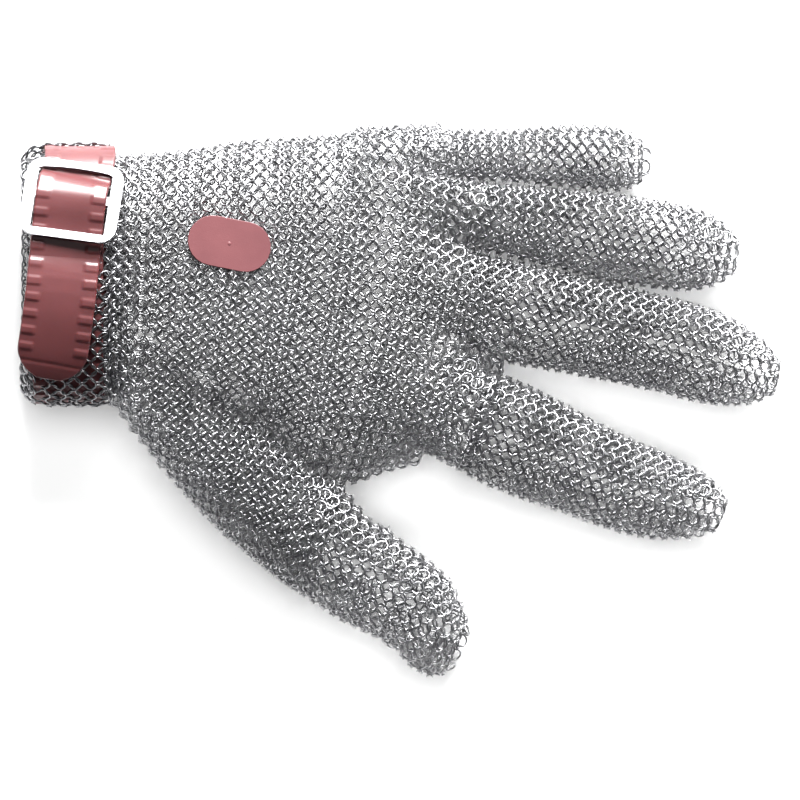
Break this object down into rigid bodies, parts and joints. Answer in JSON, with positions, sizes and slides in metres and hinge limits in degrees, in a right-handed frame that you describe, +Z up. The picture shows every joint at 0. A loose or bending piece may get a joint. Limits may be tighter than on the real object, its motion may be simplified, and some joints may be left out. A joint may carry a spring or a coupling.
{
  "type": "chain mail glove",
  "caption": "Cut-resistant ring mesh glove lying flat, with jointed fingers and thumb, a wrist strap in the folded cuff, a slide buckle and a size tag.",
  "frame": {"origin": "centre of the glove's plan outline, on the surface that its palm lies on", "axes": "+X from the cuff to the fingertips, +Y from the thumb side to the little-finger side, +Z up through the back of the hand"},
  "size_m": [0.2301, 0.1655, 0.042],
  "materials": {
    "steel_mail": "welded stainless ring mesh, satin",
    "red_strap": "translucent ribbed polyurethane, semi-gloss",
    "red_tag": "satin moulded plastic",
    "polished_steel": "polished stainless plate"
  },
  "bodies": {
    "hand": {"back_of_hand_mesh": "steel_mail", "palm_mesh": "steel_mail", "thumb_root_mesh": "steel_mail", "size_tag_front": "red_tag", "size_tag_back": "red_tag"},
    "cuff": {"cuff_inner_mesh": "steel_mail", "cuff_tunnel_mesh": "steel_mail", "strap_band": "red_strap", "slide_buckle": "polished_steel"},
    "strap_tail": {"strap_tail": "red_strap"},
    "little_finger_proximal": {"little_finger_proximal_mesh": "steel_mail"},
    "little_finger_middle": {"little_finger_middle_mesh": "steel_mail"},
    "little_finger_tip": {"little_finger_tip_mesh": "steel_mail"},
    "ring_finger_proximal": {"ring_finger_proximal_mesh": "steel_mail"},
    "ring_finger_middle": {"ring_finger_middle_mesh": "steel_mail"},
    "ring_finger_tip": {"ring_finger_tip_mesh": "steel_mail"},
    "middle_finger_proximal": {"middle_finger_proximal_mesh": "steel_mail"},
    "middle_finger_middle": {"middle_finger_middle_mesh": "steel_mail"},
    "middle_finger_tip": {"middle_finger_tip_mesh": "steel_mail"},
    "index_finger_proximal": {"index_finger_proximal_mesh": "steel_mail"},
    "index_finger_middle": {"index_finger_middle_mesh": "steel_mail"},
    "index_finger_tip": {"index_finger_tip_mesh": "steel_mail"},
    "thumb_proximal": {"thumb_proximal_mesh": "steel_mail"},
    "thumb_tip": {"thumb_tip_mesh": "steel_mail"}
  },
  "joints": [
    {"name": "cuff_fold", "type": "hinge", "parent": "hand", "child": "cuff", "pos_m": [-0.084, 0.0384, 0.0194], "axis": [0, 1, 0], "range_deg": [-12, 12]},
    {"name": "strap_tail_lift", "type": "hinge", "parent": "cuff", "child": "strap_tail", "pos_m": [-0.1007, 0.04104, 0.03928], "axis": [-0.9962, 0.0874, -0.0011], "range_deg": [0, 70]},
    {"name": "little_knuckle", "type": "hinge", "parent": "hand", "child": "little_finger_proximal", "pos_m": [0.02, 0.0746, 0.0083], "axis": [0.0262, 0.9997, 0], "range_deg": [-15, 60]},
    {"name": "little_second_joint", "type": "hinge", "parent": "little_finger_proximal", "child": "little_finger_middle", "pos_m": [0.03749, 0.07414, 0.0086], "axis": [0.0262, 0.9997, 0], "range_deg": [0, 70]},
    {"name": "little_tip_joint", "type": "hinge", "parent": "little_finger_middle", "child": "little_finger_tip", "pos_m": [0.05549, 0.07367, 0.0084], "axis": [0.0262, 0.9997, 0], "range_deg": [0, 42]},
    {"name": "ring_knuckle", "type": "hinge", "parent": "hand", "child": "ring_finger_proximal", "pos_m": [0.03, 0.0553, 0.0103], "axis": [0.1599, 0.9871, 0], "range_deg": [-15, 60]},
    {"name": "ring_second_joint", "type": "hinge", "parent": "ring_finger_proximal", "child": "ring_finger_middle", "pos_m": [0.05369, 0.05146, 0.0108], "axis": [0.1599, 0.9871, 0], "range_deg": [0, 70]},
    {"name": "ring_tip_joint", "type": "hinge", "parent": "ring_finger_middle", "child": "ring_finger_tip", "pos_m": [0.07886, 0.04739, 0.0106], "axis": [0.1599, 0.9871, 0], "range_deg": [0, 42]},
    {"name": "middle_knuckle", "type": "hinge", "parent": "hand", "child": "middle_finger_proximal", "pos_m": [0.034, 0.0273, 0.0125], "axis": [0.2181, 0.9759, 0], "range_deg": [-15, 60]},
    {"name": "middle_second_joint", "type": "hinge", "parent": "middle_finger_proximal", "child": "middle_finger_middle", "pos_m": [0.06035, 0.02141, 0.0123], "axis": [0.2181, 0.9759, 0], "range_deg": [0, 70]},
    {"name": "middle_tip_joint", "type": "hinge", "parent": "middle_finger_middle", "child": "middle_finger_tip", "pos_m": [0.08865, 0.01508, 0.0119], "axis": [0.2181, 0.9759, 0], "range_deg": [0, 42]},
    {"name": "index_knuckle", "type": "hinge", "parent": "hand", "child": "index_finger_proximal", "pos_m": [0.033, -0.0097, 0.0125], "axis": [0.3827, 0.9239, 0], "range_deg": [-15, 60]},
    {"name": "index_second_joint", "type": "hinge", "parent": "index_finger_proximal", "child": "index_finger_middle", "pos_m": [0.05425, -0.0185, 0.0121], "axis": [0.3827, 0.9239, 0], "range_deg": [0, 70]},
    {"name": "index_tip_joint", "type": "hinge", "parent": "index_finger_middle", "child": "index_finger_tip", "pos_m": [0.07688, -0.02788, 0.0116], "axis": [0.3827, 0.9239, 0], "range_deg": [0, 42]},
    {"name": "thumb_knuckle", "type": "hinge", "parent": "hand", "child": "thumb_proximal", "pos_m": [-0.0125, -0.0492, 0.014], "axis": [0.6157, 0.788, 0], "range_deg": [-10, 50]},
    {"name": "thumb_tip_joint", "type": "hinge", "parent": "thumb_proximal", "child": "thumb_tip", "pos_m": [0.0046, -0.06256, 0.013], "axis": [0.788, 0.6157, 0], "range_deg": [0, 60]}
  ],
  "couplings": [
    {"joint": "little_tip_joint", "follows": "little_second_joint", "ratio": 0.6},
    {"joint": "ring_tip_joint", "follows": "ring_second_joint", "ratio": 0.6},
    {"joint": "middle_tip_joint", "follows": "middle_second_joint", "ratio": 0.6},
    {"joint": "index_tip_joint", "follows": "index_second_joint", "ratio": 0.6}
  ]
}
